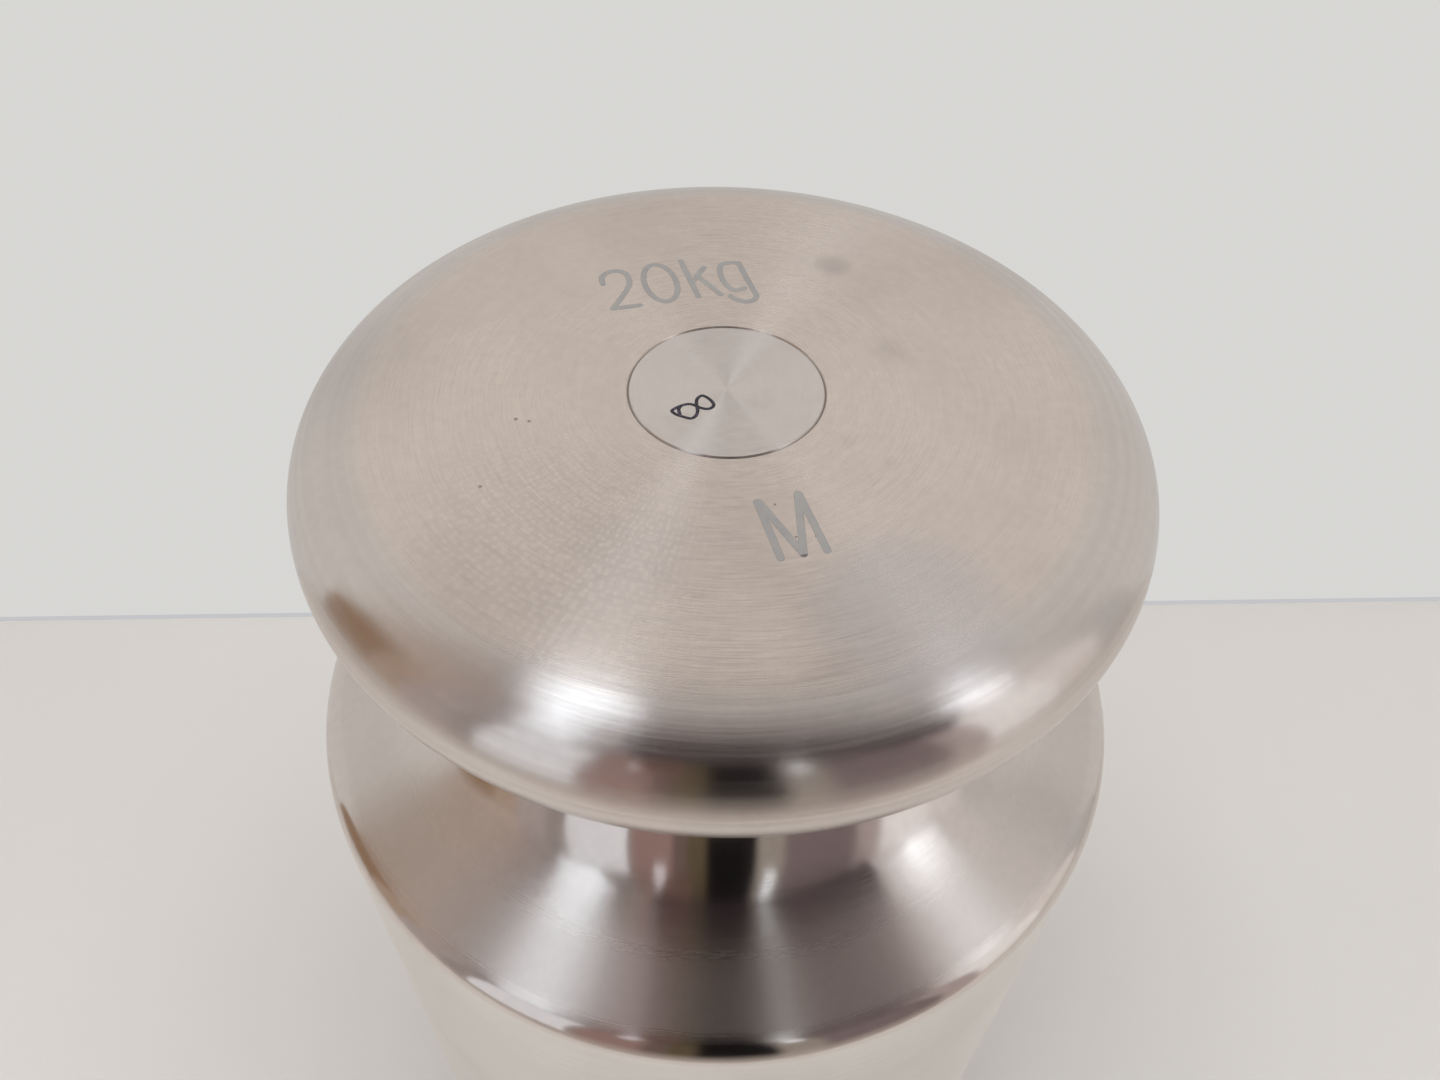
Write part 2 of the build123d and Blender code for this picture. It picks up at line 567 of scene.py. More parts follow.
# %% How much of each effect the colour takes
line_edges = (0.38, 0.62)
line_share = 0.22
band_edges = (0.35, 0.65)
rim_band_share = 0.12
cloud_share = 0.12
mottle_share = 0.12
dimple_share = 0.24
haze_share = 0.42
grime_share = 0.45
side_cloud_share = 0.2
side_band_share = 0.22
side_line_share = 0.25

# %% How rough each finish is, and how deep its relief
neck_roughness = 0.12
more_on = {"knob": 0.05, "flat": 0.10, "cone": 0.18, "side": 0.05, "bands": 0.04, "clouds": 0.03}
scratch_edges = (0.42, 0.66)
scratch_roughness = 0.03
more_scratch_on_flat = 0.09
line_relief = 0.12
more_lines_on_rim = 0.5
band_relief = 0.3
dimple_relief = 1.3
relief_depth = 0.012 * mm

# %% Places of the seam, the dimples, the haze, the marks of use and a patch of painted shade: x and y in mm, size, softness, depth
seam_radius = plug_radius + plug_side_gap / 2
seam_half_width = seam_chamfer + 0.06 * mm
dimple_patch = {"Centre": (-19 * mm, -26 * mm, top_z), "Size": 24 * mm, "Soft": 0.7}
haze_patch = {"Centre": (21 * mm, -35 * mm, top_z), "Size": 14 * mm, "Soft": 0.55}
marks_and_painted_shade = [
    (14.8, 27.9, 3.8, 0.8, 0.28),
    (21.7, 9.1, 4.0, 1.0, 0.14),
    (14.8, -9.1, 1.6, 1.0, 0.09),
    (20.0, -13.1, 1.4, 1.0, 0.09),
    (-26.2, -7.1, 0.35, 0.5, 0.8),
    (-24.5, -7.4, 0.3, 0.5, 0.8),
    (-28.7, -19.0, 0.3, 0.5, 0.8),
    (6.1, -20.3, 0.22, 0.5, 0.8),
    (8.5, -25.3, 0.22, 0.5, 0.8),
    (10.8, -25.1, 0.2, 0.5, 0.8),
    # painted shade: a broad soft dark patch on the left of the knob's top stands in for less light from
    # the room there
    (-50.0, 3.0, 20.0, 1.0, 0.16),
]


# %% Where each finish of the body lies
def finish_zones(tree, place):
    """A mask for each finish, from the height alone."""
    parts = node(tree, "ShaderNodeSeparateXYZ", (1, 3))
    link(tree, place, parts.inputs[0])
    height = parts.outputs["Z"]
    knob = fade_between(tree, (2, 3), height, *knob_border)
    side = fade_between(tree, (2, 4), height, *side_border, 1, 0)
    flat_top = fade_between(tree, (2, 5), height, *flat_border)
    below_neck = fade_between(tree, (2, 8), height, *neck_border, 1, 0)
    above_edge = fade_between(tree, (2, 9), height, *edge_border)
    cone = times(tree, (3, 8), below_neck, above_edge)
    rim = math_node(tree, "SUBTRACT", (3, 4), knob, flat_top)
    return {"knob": knob, "side": side, "flat": flat_top, "cone": cone, "rim": rim}


def marks_and_shade_mask(tree, place):
    """One mask for all the marks of use, and for the painted shade on the left of the knob's top."""
    dark = None
    for x, y, size, soft, depth in marks_and_painted_shade:
        centre = (x * mm, y * mm, top_z)
        spot = {"Centre": centre, "Size": size * mm, "Soft": soft}
        mask = use_group(tree, single_spot, (3, 5), Place=place, **spot)
        mask = times(tree, (4, 5), mask, depth)
        dark = mask if dark is None else math_node(tree, "MAXIMUM", (5, 5), dark, mask)
    return dark


def seam_tone(tree, place, tone):
    """Darkens the tone along the seam round the plug."""
    seam = {"Radius": seam_radius, "Half_Width": seam_half_width}
    grime = use_group(tree, seam_grime, (9, 6), Place=place, **seam)
    return tint(tree, (11, 1), tone, grime, grime_share, grime_tone)


# %% The body's steel
def turned_steel_material():
    material, tree, shader, place = new_material("turned steel")
    on = finish_zones(tree, place)
    fine = use_group(tree, turning_lines, (2, 0), Place=place, Spacing=0.07 * mm, Wander=7)
    broad = use_group(tree, turning_lines, (2, 1), Place=place, Spacing=0.45 * mm, Wander=3)
    bands = use_group(tree, turning_lines, (2, 10), Place=place, Spacing=0.9 * mm, Wander=0.3)
    clouds = use_group(tree, soft_clouds, (2, 2), Place=place, Size=22 * mm, From=0.42, To=0.72)
    mottle = use_group(tree, soft_clouds, (2, 6), Place=place, Size=1.5 * mm, From=0.3, To=0.7)
    dimples = use_group(tree, tool_chatter, (3, 6), Place=place, Row=0.95 * mm, Step=1.05 * mm)
    patch = use_group(tree, single_spot, (3, 7), Place=place, **dimple_patch)
    haze = use_group(tree, single_spot, (8, 2), Place=place, **haze_patch)
    dimples = times(tree, (4, 6), dimples, times(tree, (4, 7), patch, on["flat"]))
    fine_part = times(tree, (3, 0), fine, 0.4)
    lines = math_node(tree, "ADD", (4, 0), fine_part, times(tree, (3, 1), broad, 0.6))
    bands = fade_between(tree, (3, 10), bands, *band_edges)
    rim_bands = times(tree, (4, 11), bands, on["rim"])

    tone = mix_colour(tree, (4, 1), on["flat"], polished_steel, warm_steel)
    drawn_lines = fade_between(tree, (4, 2), lines, *line_edges, 0, line_share)
    tone = mix_colour(tree, (5, 1), drawn_lines, tone, cool_steel)
    tone = tint(tree, (6, 1), tone, clouds, cloud_share, smudge_tone)
    tone = tint(tree, (7, 1), tone, mottle, mottle_share, smudge_tone)
    tone = tint(tree, (8, 1), tone, dimples, dimple_share, smudge_tone)
    tone = tint(tree, (8, 7), tone, rim_bands, rim_band_share, smudge_tone)
    side_tone = tint(tree, (8, 9), side_steel, clouds, side_cloud_share, cool_steel)
    side_tone = tint(tree, (8, 10), side_tone, bands, side_band_share, cool_steel)
    side_tone = tint(tree, (8, 11), side_tone, lines, side_line_share, cool_steel)
    tone = mix_colour(tree, (9, 1), on["side"], tone, side_tone)
    tone = tint(tree, (9, 2), tone, haze, haze_share, haze_tone)
    # marks of use, and painted shade on the left of the knob's top
    tone = mix_colour(tree, (10, 1), marks_and_shade_mask(tree, place), tone, mark_and_shade_tone)
    tone = seam_tone(tree, place, tone)

    scratched = fade_between(tree, (6, 3), fine, *scratch_edges)
    scratch_depth = math_node(
        tree, "MULTIPLY_ADD", (7, 5), on["flat"], more_scratch_on_flat, scratch_roughness
    )
    rough = times(tree, (7, 3), scratched, scratch_depth)
    rough = math_node(tree, "ADD", (8, 3), rough, neck_roughness)
    masks = {**on, "bands": rim_bands, "clouds": clouds}
    for zone, more in more_on.items():
        rougher = times(tree, (8, 4), masks[zone], more)
        rough = math_node(tree, "ADD", (9, 3), rough, rougher)
    set_inputs(shader, Base_Color=tone, Roughness=rough)

    line_depth = math_node(tree, "MULTIPLY_ADD", (7, 8), on["rim"], more_lines_on_rim, line_relief)
    dimple_part = times(tree, (8, 6), dimples, dimple_relief)
    band_part = times(tree, (8, 7), rim_bands, band_relief)
    coarse = math_node(tree, "ADD", (9, 6), dimple_part, band_part)
    relief = math_node(tree, "ADD", (9, 5), times(tree, (8, 5), lines, line_depth), coarse)
    add_bump(tree, shader, relief, 1.0, relief_depth)
    follow_rings(shader)
    return material


turned_steel = turned_steel_material()
print(f"turned steel: {len(turned_steel.node_tree.nodes)} nodes")

# %% [markdown]
# ## The steel of the plug
#
# The plug is faced on its own, so its rings are as fine as the knob's but its tone is a little
# lighter. The body's material could be used again, but the plug has no zones, marks or bands.

# %% The plug's steel
plug_roughness = 0.28
plug_scratch_roughness = 0.12


def plug_steel_material():
    material, tree, shader, place = new_material("plug steel")
    fine = use_group(tree, turning_lines, (2, 0), Place=place, Spacing=0.07 * mm, Wander=5)
    clouds = use_group(tree, soft_clouds, (2, 2), Place=place, Size=5 * mm, From=0.5, To=0.75)
    tone = tint(tree, (5, 1), plug_tone, fine, 0.4, cool_steel)
    tone = tint(tree, (6, 1), tone, clouds, 0.15, smudge_tone)
    tone = seam_tone(tree, place, tone)
    scratched = fade_between(tree, (6, 4), fine, *scratch_edges)
    rougher = times(tree, (7, 4), scratched, plug_scratch_roughness)
    rough = math_node(tree, "ADD", (8, 3), plug_roughness, rougher)
    set_inputs(shader, Base_Color=tone, Roughness=rough)
    add_bump(tree, shader, fine, 0.2, 0.01 * mm)
    follow_rings(shader)
    return material


plug_steel = plug_steel_material()
print(f"plug steel: {len(plug_steel.node_tree.nodes)} nodes")

# %% [markdown]
# ## Turning the two pieces
#
# Both pieces come off the same lathe, each from its own outline. The new meshes take the place
# of the solid model's loose triangles, which are hidden.

# %% The body and the plug
turned = {
    "weight_body": ("turned_weight", body_outline(), turned_steel, "turned_steel"),
    "closing_plug": ("pressed_plug", plug_outline(), plug_steel, "plug_steel"),
}
for cad_node, (name, outline, material, slot) in turned.items():
    piece = turn(name, outline, material)
    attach(piece, "root")
    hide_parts(cad_node)

# %% [markdown]
# ## Strokes on the knob
#
# The value and the class letter are etched, and a number is written on the plug with a marker
# pen. Text from a font would be too regular for the pen and would need that font. Each mark is a
# set of strokes, a line of points that the tree sweeps with a flattened round, closed by a
# flattened ball at each end.


# %% The stroke tree
def stroke_tree():
    tree = bpy.data.node_groups.new("draw a stroke", "GeometryNodeTree")
    add_sockets(tree, "INPUT", Path="Geometry", Width="Float", Thickness="Float", Finish="Material")
    add_sockets(tree, "OUTPUT", Mark="Geometry")
    given = node(tree, "NodeGroupInput", (0, 0)).outputs
    result = node(tree, "NodeGroupOutput", (9, 0))
    width = given["Width"]
    thickness = given["Thickness"]

    line = node(tree, "GeometryNodeMeshToCurve", (2, 0))
    set_inputs(line, Mesh=given["Path"])
    upright = node(tree, "GeometryNodeSetCurveNormal", (3, 0), mode="Z_UP")
    set_inputs(upright, Curve=line.outputs[0])
    section = node(tree, "GeometryNodeCurvePrimitiveCircle", (2, 1))
    set_inputs(section, Resolution=12, Radius=0.5)
    size = node(tree, "ShaderNodeCombineXYZ", (1, 2))
    set_inputs(size, X=width, Y=thickness, Z=1)
    flattened = node(tree, "GeometryNodeTransform", (3, 1))
    set_inputs(flattened, Geometry=section.outputs[0], Scale=size.outputs[0])
    swept = node(tree, "GeometryNodeCurveToMesh", (4, 0))
    set_inputs(swept, Curve=upright.outputs[0], Profile_Curve=flattened.outputs[0], Fill_Caps=True)

    ends = node(tree, "GeometryNodeCurveEndpointSelection", (3, 3))
    ball = node(tree, "GeometryNodeMeshUVSphere", (4, 3))
    set_inputs(ball, Segments=16, Rings=6, Radius=0.5)
    flat_size = node(tree, "ShaderNodeCombineXYZ", (4, 4))
    set_inputs(flat_size, X=width, Y=width, Z=thickness)
    placed = node(tree, "GeometryNodeInstanceOnPoints", (5, 2))
    set_inputs(placed, Points=upright.outputs[0], Selection=ends.outputs[0])
    set_inputs(placed, Instance=ball.outputs["Mesh"], Scale=flat_size.outputs[0])
    both = node(tree, "GeometryNodeJoinGeometry", (6, 0))
    link(tree, swept.outputs[0], both.inputs[0])
    link(tree, placed.outputs[0], both.inputs[0])
    real = node(tree, "GeometryNodeRealizeInstances", (7, 0))
    smooth = node(tree, "GeometryNodeSetShadeSmooth", (7, 1))
    finish = node(tree, "GeometryNodeSetMaterial", (8, 0))
    set_inputs(finish, Material=given["Finish"])
    in_line(tree, both, real, smooth, finish, result)
    return tree


stroke = stroke_tree()
print(f"stroke tree: {len(stroke.nodes)} nodes")


# %% Rounding a stroke through its points
def smooth_step(p, q, r, s, t):
    """The smooth line's value at this share t of the way from q to r."""
    bend = (2 * p - 5 * q + 4 * r - s) * t**2 + (3 * q - p - 3 * r + s) * t**3
    return 0.5 * (2 * q + (r - p) * t + bend)


def rounded(points, steps=8):
    """A smooth line through the points, which starts and ends on the first and last."""
    padded = [points[0], *points, points[-1]]
    line = []
    for four in zip(padded, padded[1:], padded[2:], padded[3:]):
        for i in range(steps):
            line.append(tuple(smooth_step(*values, i / steps) for values in zip(*four)))
    return line + [points[-1]]


def ring_of(centre, half_width, half_height, lean, steps=40):
    """A closed oval, leaning by this many degrees to the left."""
    turn_by = math.radians(lean)
    line = []
    for i in range(steps + 1):
        angle = 2 * math.pi * i / steps
        x = half_width * math.cos(angle)
        y = half_height * math.sin(angle)
        line.append((
            centre[0] + x * math.cos(turn_by) - y * math.sin(turn_by),
            centre[1] + x * math.sin(turn_by) + y * math.cos(turn_by),
        ))
    return line


mark_thickness = 0.03 * mm


def draw_mark(name, strokes, width, material):
    """Draws the strokes, given in mm, on the knob's top."""
    points = []
    edges = []
    for line in strokes:
        first = len(points)
        points += [(x * mm, y * mm, top_z) for x, y in line]
        edges += [(first + i, first + i + 1) for i in range(len(line) - 1)]
    mesh = bpy.data.meshes.new(name)
    mesh.from_pydata(points, edges, [])
    path = add_object(name + "_path", mesh)
    add_tree(path, stroke, Width=width, Thickness=mark_thickness, Finish=material)
    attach(keep_as_mesh(path, name), "root")


# %% Etched and inked finishes
etched_grey = (0.56, 0.54, 0.52)
etched_light = (0.68, 0.65, 0.62)
etched_blue = (0.45, 0.44, 0.47)
ink_dark = (0.012, 0.010, 0.016)
ink_thin = (0.10, 0.07, 0.13)


def etched_material():
    material, tree, shader, place = new_material("etched steel")
    grain = use_group(tree, soft_clouds, (2, 0), Place=place, Size=0.35 * mm, From=0.35, To=0.65)
    clouds = use_group(tree, soft_clouds, (2, 1), Place=place, Size=3 * mm, From=0.3, To=0.7)
    tone = tint(tree, (4, 0), etched_grey, grain, 0.5, etched_light)
    tone = tint(tree, (5, 0), tone, clouds, 0.4, etched_blue)
    rough = fade_between(tree, (5, 2), grain, 0, 1, 0.46, 0.60)
    set_inputs(shader, Base_Color=tone, Roughness=rough, Metallic=1)
    add_bump(tree, shader, grain, 0.3, 0.01 * mm)
    return material


def ink_material():
    material, tree, shader, place = new_material("marker ink")
    thin = use_group(tree, soft_clouds, (2, 0), Place=place, Size=0.7 * mm, From=0.5, To=0.8)
    tone = mix_colour(tree, (4, 0), thin, ink_dark, ink_thin)
    rough = fade_between(tree, (5, 2), thin, 0, 1, 0.42, 0.3)
    set_inputs(shader, Base_Color=tone, Roughness=rough)
    return material


etched_steel = etched_material()
marker_ink = ink_material()
print("mark finishes:", etched_steel.name, "and", marker_ink.name)

# %% The value, the class letter and the number on the plug
two = rounded([
    (-18.0, 21.6), (-18.3, 23.0), (-17.6, 24.3), (-16.3, 24.8), (-15.0, 24.2),
    (-14.3, 22.5), (-14.4, 20.9), (-15.0, 18.9), (-16.0, 16.2),
])
foot_of_two = [(-16.1, 16.0), (-12.4, 17.0)]
nought = ring_of((-9.9, 22.35), 2.25, 4.45, 17)
letter_k = [[(-7.3, 27.8), (-4.4, 19.4)], [(-3.9, 26.3), (-5.5, 22.6)], [(-4.5, 23.9), (-1.3, 20.1)]]
g_loop = rounded([
    (1.0, 27.6), (0.0, 27.8), (-1.2, 27.3), (-1.6, 26.3), (-1.4, 24.6),
    (-0.8, 22.8), (0.0, 21.6), (0.9, 21.2), (2.0, 21.7),
])
g_stem = rounded([
    (1.1, 27.8), (2.0, 25.0), (3.1, 21.8), (3.7, 20.3), (3.4, 19.1), (2.3, 18.6), (0.9, 19.0), (0.1, 19.8),
])
value_strokes = [two, foot_of_two, nought, *letter_k, g_loop, g_stem]
draw_mark("value_mark", value_strokes, 0.85 * mm, etched_steel)

class_strokes = [
    [(6.7, -28.6), (4.0, -20.0)],
    [(4.2, -20.0), (9.3, -27.9)],
    [(9.3, -27.9), (8.8, -18.4)],
    [(8.9, -18.4), (12.0, -27.2)],
]
draw_mark("class_mark", class_strokes, 0.95 * mm, etched_steel)

left_loop = rounded([
    (-3.6, -3.6), (-4.6, -3.2), (-5.6, -3.5), (-6.8, -4.5), (-6.3, -5.2),
    (-5.4, -5.6), (-4.4, -5.9), (-3.8, -5.4), (-3.6, -4.6), (-3.6, -3.6),
])
right_loop = rounded([
    (-3.6, -4.2), (-3.8, -3.0), (-3.7, -2.1), (-3.1, -1.5), (-2.2, -2.1),
    (-1.6, -3.1), (-1.9, -3.8), (-2.6, -4.0), (-3.6, -3.7),
])
second_pass = rounded([(-5.8, -3.7), (-6.0, -4.3), (-5.8, -5.1)])
draw_mark("number_mark", [left_loop, right_loop, second_pass], 0.47 * mm, marker_ink)

# %% [markdown]
# ## The shot in the cavity
#
# Steel balls under the plug bring the weight to its exact mass. Nobody sees them, so the solid
# model's balls stay, and only their finish is set.


# %% The shot's steel
shot_light = (0.58, 0.57, 0.55)
shot_dull = (0.46, 0.45, 0.44)


def shot_steel_material():
    material, tree, shader, place = new_material("shot steel")
    clouds = use_group(tree, soft_clouds, (2, 0), Place=place, Size=2 * mm, From=0.35, To=0.7)
    tone = mix_colour(tree, (4, 0), clouds, shot_light, shot_dull)
    rough = fade_between(tree, (5, 2), clouds, 0, 1, 0.16, 0.34)
    set_inputs(shader, Base_Color=tone, Roughness=rough, Metallic=1)
    return material


shot_steel = shot_steel_material()
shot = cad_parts["adjusting_shot"]
shot.data.materials.clear()
shot.data.materials.append(shot_steel)
print(f"shot: {len(shot.data.polygons)} faces keep the solid model's shape")

# %% [markdown]
# ## The table and the wall
#
# Polished steel shows the room more than its own colour, so the room matters as much as the
# finish. The weight stands on a pale table close to a pale wall. The wall's own colour shows to
# the camera and in reflections, and it vanishes from behind, so that the back of the weight can
# be looked at too.


# %% Room surfaces
def room_material(name, tone, glow=True):
    """A matte paint. With glow, eyes and reflections see its plain tone and no shadow."""
    material = bpy.data.materials.new(name)
    material.use_nodes = True
    tree = material.node_tree
    tree.nodes.clear()
    out = node(tree, "ShaderNodeOutputMaterial", (6, 0))
    matte = node(tree, "ShaderNodeBsdfDiffuse", (2, 1))
    set_inputs(matte, Color=(*tone, 1))
    surface = matte.outputs[0]
    if glow:
        own = node(tree, "ShaderNodeEmission", (2, 0))
        set_inputs(own, Color=(*tone, 1))
        path = node(tree, "ShaderNodeLightPath", (0, 0))
        seen = path.outputs["Is Camera Ray"]
        for column, ray in enumerate(("Is Glossy Ray", "Is Transmission Ray"), 1):
            seen = math_node(tree, "MAXIMUM", (column, 2), seen, path.outputs[ray])
        mixed = node(tree, "ShaderNodeMixShader", (3, 0))
        link(tree, seen, mixed.inputs[0])
        link(tree, matte.outputs[0], mixed.inputs[1])
        link(tree, own.outputs[0], mixed.inputs[2])
        surface = mixed.outputs[0]
    behind = node(tree, "ShaderNodeNewGeometry", (3, 2))
    clear = node(tree, "ShaderNodeBsdfTransparent", (3, 3))
    one_sided = node(tree, "ShaderNodeMixShader", (5, 0))
    link(tree, behind.outputs["Backfacing"], one_sided.inputs[0])
    link(tree, surface, one_sided.inputs[1])
    link(tree, clear.outputs[0], one_sided.inputs[2])
    link(tree, one_sided.outputs[0], out.inputs["Surface"])
    return material


def panel(name, corners, material):
    mesh = bpy.data.meshes.new(name)
    mesh.from_pydata(corners, [], [tuple(range(len(corners)))])
    mesh.materials.append(material)
    made = add_object(name, mesh)
    return made


table_front_y = -0.31
table_back_y = 1.3
wall_y = 0.143
wall_turn = math.radians(3.5)
room_half_width = 1.1
wall_height = 1.3


def at_wall(x, z):
    """A point on the wall, which stands a little askew behind the weight."""
    return (x * math.cos(wall_turn), wall_y + x * math.sin(wall_turn), z)


def strip_of_wall(height):
    """Corners of a strip that rises from the table and faces the weight."""
    left, right = -room_half_width, room_half_width
    return [at_wall(right, 0), at_wall(right, height), at_wall(left, height), at_wall(left, 0)]


wall_colour = (0.68, 0.675, 0.66)
table_colour = (0.74, 0.72, 0.69)
# tone, height and offset of the painted shadow strip at the foot of the wall
painted_shadow_colour = (0.55, 0.555, 0.575)
painted_shadow_height = 2.2 * mm
painted_shadow_front = 0.4 * mm
table_corners = [
    (-room_half_width, table_front_y, 0),
    (room_half_width, table_front_y, 0),
    (room_half_width, table_back_y, 0),
    (-room_half_width, table_back_y, 0),
]
panel("wall", strip_of_wall(wall_height), room_material("wall paint", wall_colour))
panel("table", table_corners, room_material("table top", table_colour, glow=False))
# painted shadow: a thin grey strip at the foot of the wall, shown to the camera in its own tone, stands in
# for the shade where the wall meets the table
painted_shadow_strip = panel("painted_wall_shadow", strip_of_wall(painted_shadow_height), room_material("painted shadow at the wall foot", painted_shadow_colour))
painted_shadow_strip.data.transform(Matrix.Translation((0, -painted_shadow_front, 0)))
print(f"room: {2 * room_half_width:.1f} m wide, wall {wall_y * 1000:.0f} mm behind the axis")

# %% [markdown]
# ## Lamps and curtains
#
# Two tall soft lamps stand in front, left and right, with two narrow ones between them and three
# under the ceiling. Behind them a striped curtain stands in for the rest of a room, because
# steel that reflects only white looks like plastic. Its stripes blend into each other, and the
# camera doesn't see it. A lamp adds to what is behind it, so its radiance is only the rest.


# %% Placing lamps round the weight
def toward(azimuth, elevation):
    """A direction from the knob: azimuth 0 is toward the front, and 90 to the right."""
    turn_by = math.radians(azimuth)
    rise = math.radians(elevation)
    level = math.cos(rise)
    return Vector((level * math.sin(turn_by), -level * math.cos(turn_by), math.sin(rise)))


def spread(angle, distance):
    """The width that fills this angle, in degrees, at this distance."""
    return 2 * distance * math.tan(math.radians(angle / 2))


def area_lamp(name, width, height, radiance, colour):
    light = bpy.data.lights.new(name, "AREA")
    light.shape = "RECTANGLE"
    light.size = width
    light.size_y = height
    light.energy = radiance * math.pi * width * height
    light.color = colour
    lamp = add_object(name, light)
    print(f"{name}: {width:.2f} x {height:.2f} m, {light.energy:.1f} W")
    return lamp


# %% Upright lamps: azimuth, width in degrees, bottom and top in metres, radiance
daylight = (0.87, 1.0, 1.12)
upright_distance = 0.9
upright_lamps = {
    "left_lamp": (-39, 16, 0.05, 1.12, 1.1),
    "right_lamp": (66.5, 13, 0.05, 0.97, 0.33),
    "left_strip": (-17.3, 3, 0.80, 2.2, 1.1),
    "right_strip": (20.5, 3, 0.85, 1.9, 1.6),
}
nested = {"wide": 1.35, "narrow": 0.65}

for name, (azimuth, angle, low, high, radiance) in upright_lamps.items():
    for part, share in nested.items():
        width = spread(angle * share, upright_distance)
        lamp = area_lamp(f"{name}_{part}", width, high - low, radiance / 2, daylight)
        lamp.location = toward(azimuth, 0) * upright_distance + Vector((0, 0, (low + high) / 2))
        lamp.rotation_euler = (math.pi / 2, 0, math.radians(azimuth))

# %% Lamps under the ceiling: azimuth, elevation, width and height in degrees, radiance
room_centre = Vector((0, 0, 0.2))
high_distance = 1.2
high_lamps = {
    "left_upper_lamp": (-48, 54, 11, 14, 1.05),
    "left_ceiling_lamp": (-70, 71.5, 12, 15, 2.3),
    "right_upper_lamp": (77, 50, 9, 14, 1.3),
}
for name, (azimuth, elevation, angle, tall, radiance) in high_lamps.items():
    width = spread(angle, high_distance)
    lamp = area_lamp(name, width, spread(tall, high_distance), radiance, daylight)
    away = toward(azimuth, elevation)
    lamp.location = room_centre + away * high_distance
    lamp.rotation_euler = away.to_track_quat("Z", "Y").to_euler()

# %% The lamp overhead lights the table and doesn't show in the steel
overhead_width = 0.9
overhead_lamp = area_lamp("overhead_lamp", overhead_width, overhead_width, 3.9, (1, 1, 1))
overhead_lamp.location = (0, -0.05, 1.08)
overhead_lamp.visible_glossy = False

# %% A striped curtain
curtain_distance = 3.2
floor_tone = (0.52, 0.47, 0.43)
stripe_blend = 2.5


def stripe_colour(colour, elevation):
    """A stripe fades into the floor's tone below, and darkens a little above."""
    low = min(max((4 - elevation) / 32, 0), 1)
    high = 1 - 0.25 * min(max((elevation - 35) / 15, 0), 1)
    return [(c + (f - c) * low) * high for c, f in zip(colour, floor_tone)]


def curtain(name, low, high, stripes, rows=14):
    """A curved curtain round the front of the room. Each stripe is left, right and colour."""
    columns = []
    for left, right, colour in stripes:
        columns += [(left + stripe_blend / 2, colour), (right - stripe_blend / 2, colour)]
    points = []
    tones = []
    for azimuth, colour in columns:
        for j in range(rows + 1):
            elevation = low + (high - low) * j / rows
            points.append(room_centre + toward(azimuth, elevation) * curtain_distance)
            tones.append((*stripe_colour(colour, elevation), 1))
    faces = []
    for i in range(len(columns) - 1):
        for j in range(rows):
            corner = i * (rows + 1) + j
            faces.append((corner, corner + 1, corner + rows + 2, corner + rows + 1))
    mesh = bpy.data.meshes.new(name)
    mesh.from_pydata(points, [], faces)
    tone = mesh.color_attributes.new("stripe tone", "FLOAT_COLOR", "POINT")
    for i, value in enumerate(tones):
        tone.data[i].color = value
    material = bpy.data.materials.new(name)
    material.use_nodes = True
    tree = material.node_tree
    tree.nodes.clear()
    stored = node(tree, "ShaderNodeVertexColor", (0, 0), layer_name="stripe tone")
    own = node(tree, "ShaderNodeEmission", (1, 0))
    in_line(tree, stored, own, node(tree, "ShaderNodeOutputMaterial", (2, 0)))
    mesh.materials.append(material)
    made = add_object(name, mesh)
    made.visible_camera = False
    print(f"{name}: {len(stripes)} stripes, {len(faces)} faces")


# %% Curtains, from low to high, with stripes from left to right in degrees
curtain("room_front", -40, 66, [
    (-71, -58, (0.44, 0.39, 0.38)),
    (-58, -27, (0.34, 0.30, 0.29)),
    (-27, -13, (0.32, 0.215, 0.20)),
    (-13, -8, (0.16, 0.115, 0.105)),
    (-8, -1.5, (0.12, 0.095, 0.06)),
    (-1.5, 15.5, (0.008, 0.007, 0.008)),
    (15.5, 25, (0.34, 0.31, 0.28)),
    (25, 50, (0.21, 0.17, 0.175)),
    (50, 59, (0.44, 0.375, 0.37)),
    (59, 92, (0.80, 0.77, 0.76)),
])
curtain("room_left", -40, 37, [(-99, -79, (0.31, 0.205, 0.135)), (-79, -68, (0.44, 0.34, 0.27))])
curtain("room_left_upper", 37, 60, [(-99, -68, (0.55, 0.46, 0.41))])
curtain("ceiling_left", 60, 78, [(-99, -47, (0.40, 0.36, 0.35))])
curtain("ceiling_front", 66, 78, [(-47, 62, (0.50, 0.44, 0.42))])
curtain("ceiling_middle", 78, 90, [(-100, 100, (0.80, 0.78, 0.76))])

# %% The world's plain light
room_tone = (0.56, 0.55, 0.545)
world = bpy.data.worlds.new("plain room")
bpy.context.scene.world = world
world.use_nodes = True
set_inputs(world.node_tree.nodes["Background"], Color=(*room_tone, 1), Strength=1)
print("world:", world.name, room_tone)

# %% [markdown]
# ## The camera
#
# The camera stands close in front of the knob and looks steeply down on it, which widens the
# knob's near rim and narrows the body below. Its place is set from a direction and a roll.

# %% Camera
camera_place = Vector((0, -0.1144036, top_z + 0.098511))
camera_yaw = -0.0022
camera_pitch = 0.8405
camera_roll = 0.0322
lens_mm = 29.04
sensor_mm = 36
nearest_seen = 5 * mm


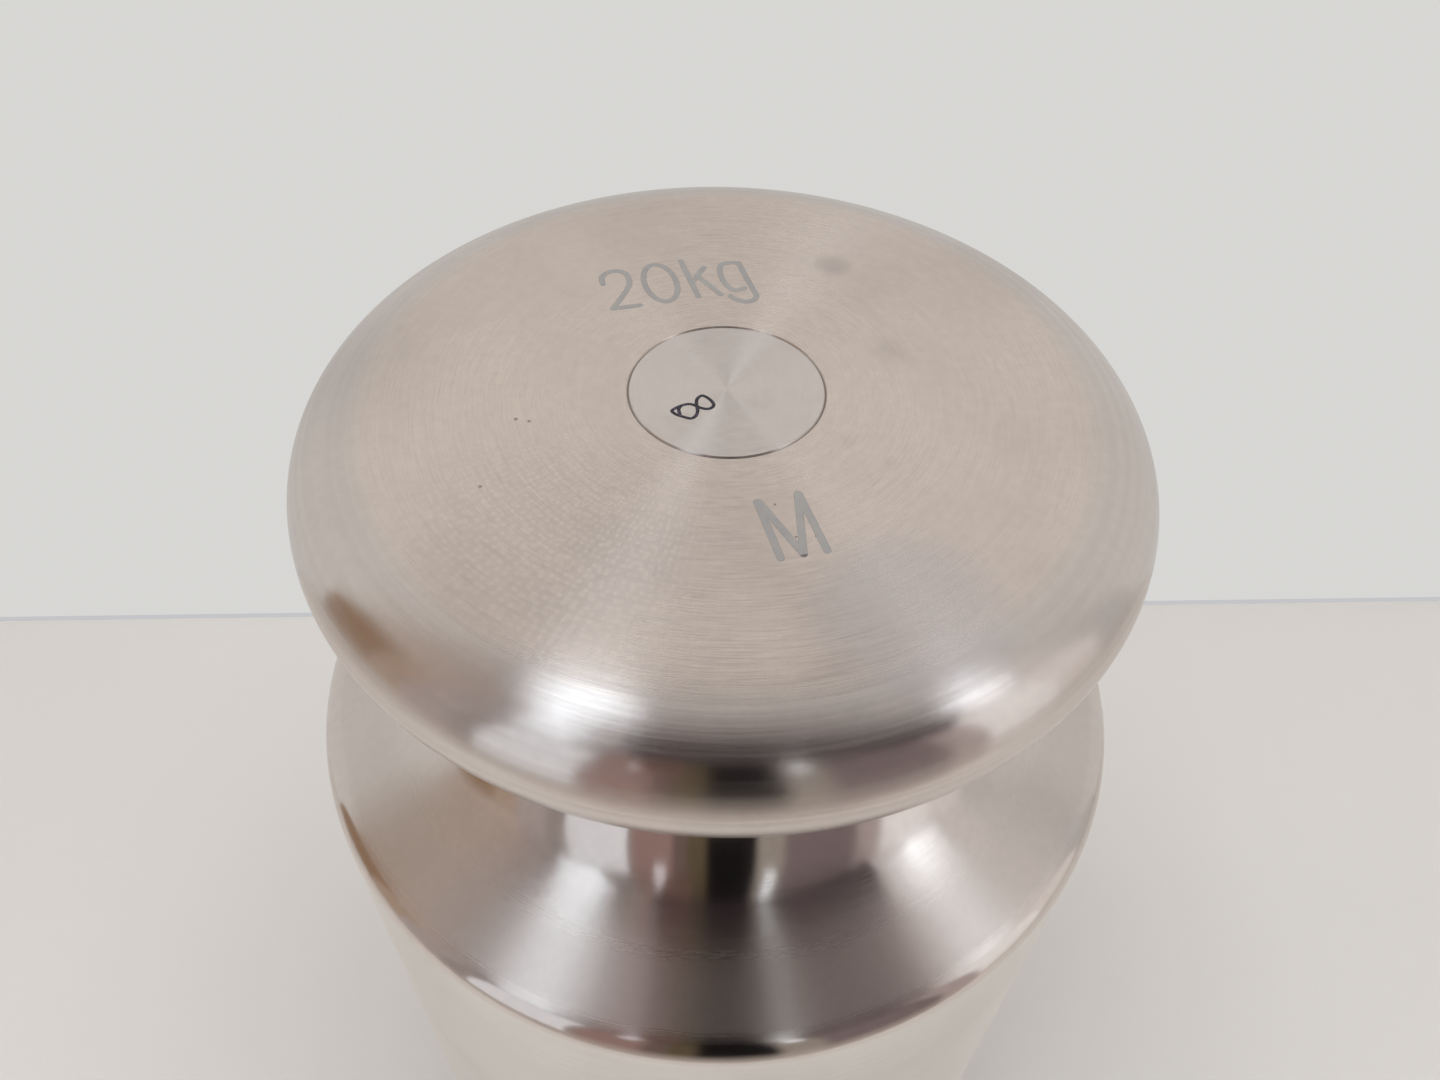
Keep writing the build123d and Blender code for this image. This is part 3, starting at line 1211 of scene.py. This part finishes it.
def make_camera():
    ahead = Vector((
        math.sin(camera_yaw) * math.cos(camera_pitch),
        math.cos(camera_yaw) * math.cos(camera_pitch),
        -math.sin(camera_pitch),
    ))
    right = Vector((math.cos(camera_yaw), -math.sin(camera_yaw), 0))
    up = right.cross(ahead)
    turned_right = math.cos(camera_roll) * right + math.sin(camera_roll) * up
    turned_up = math.cos(camera_roll) * up - math.sin(camera_roll) * right
    data = bpy.data.cameras.new("camera")
    data.lens = lens_mm
    data.sensor_width = sensor_mm
    data.clip_start = nearest_seen
    camera = add_object("camera", data)
    turn_to = Matrix((turned_right, turned_up, -ahead)).transposed()
    camera.matrix_world = Matrix.Translation(camera_place) @ turn_to.to_4x4()
    bpy.context.scene.camera = camera
    return camera


camera = make_camera()
print(f"camera: {camera_place.length * 1000:.0f} mm from the middle of the base, {lens_mm} mm lens")

# %% [markdown]
# ## The camera's own reflection
#
# A polished rim this close shows whoever looks at it. A dark card in the plane of the lens and a
# warm one beside it stand in for the camera and the hand. They face the knob, and only
# reflections see them.


# %% The cards beside the lens
card_behind_lens = 4 * mm


def lens_card(name, left, right, low, high, colour):
    """A card in the plane of the lens, sized in metres from the lens."""
    material = bpy.data.materials.new(name)
    material.use_nodes = True
    shader = material.node_tree.nodes["Principled BSDF"]
    set_inputs(shader, Base_Color=(0, 0, 0, 1), Specular_IOR_Level=0)
    set_inputs(shader, Emission_Color=(*colour, 1), Emission_Strength=1)
    corners = [(left, low), (right, low), (right, high), (left, high)]
    corners = [Vector((x, y, card_behind_lens)) for x, y in corners]
    mesh = bpy.data.meshes.new(name)
    mesh.from_pydata([camera.matrix_world @ corner for corner in corners], [], [(0, 1, 2, 3)])
    mesh.materials.append(material)
    made = add_object(name, mesh)
    made.visible_camera = False
    print(f"{name}: {(right - left) * 1000:.0f} x {(high - low) * 1000:.0f} mm")


lens_card("camera_body", -0.040, 0.140, -0.010, 0.045, (0.030, 0.022, 0.028))
lens_card("camera_hand", -0.039, -0.015, -0.050, -0.010, (0.16, 0.095, 0.08))

# %% Colours as they are written
bpy.context.scene.view_settings.view_transform = "Standard"
print("view transform:", bpy.context.scene.view_settings.view_transform)
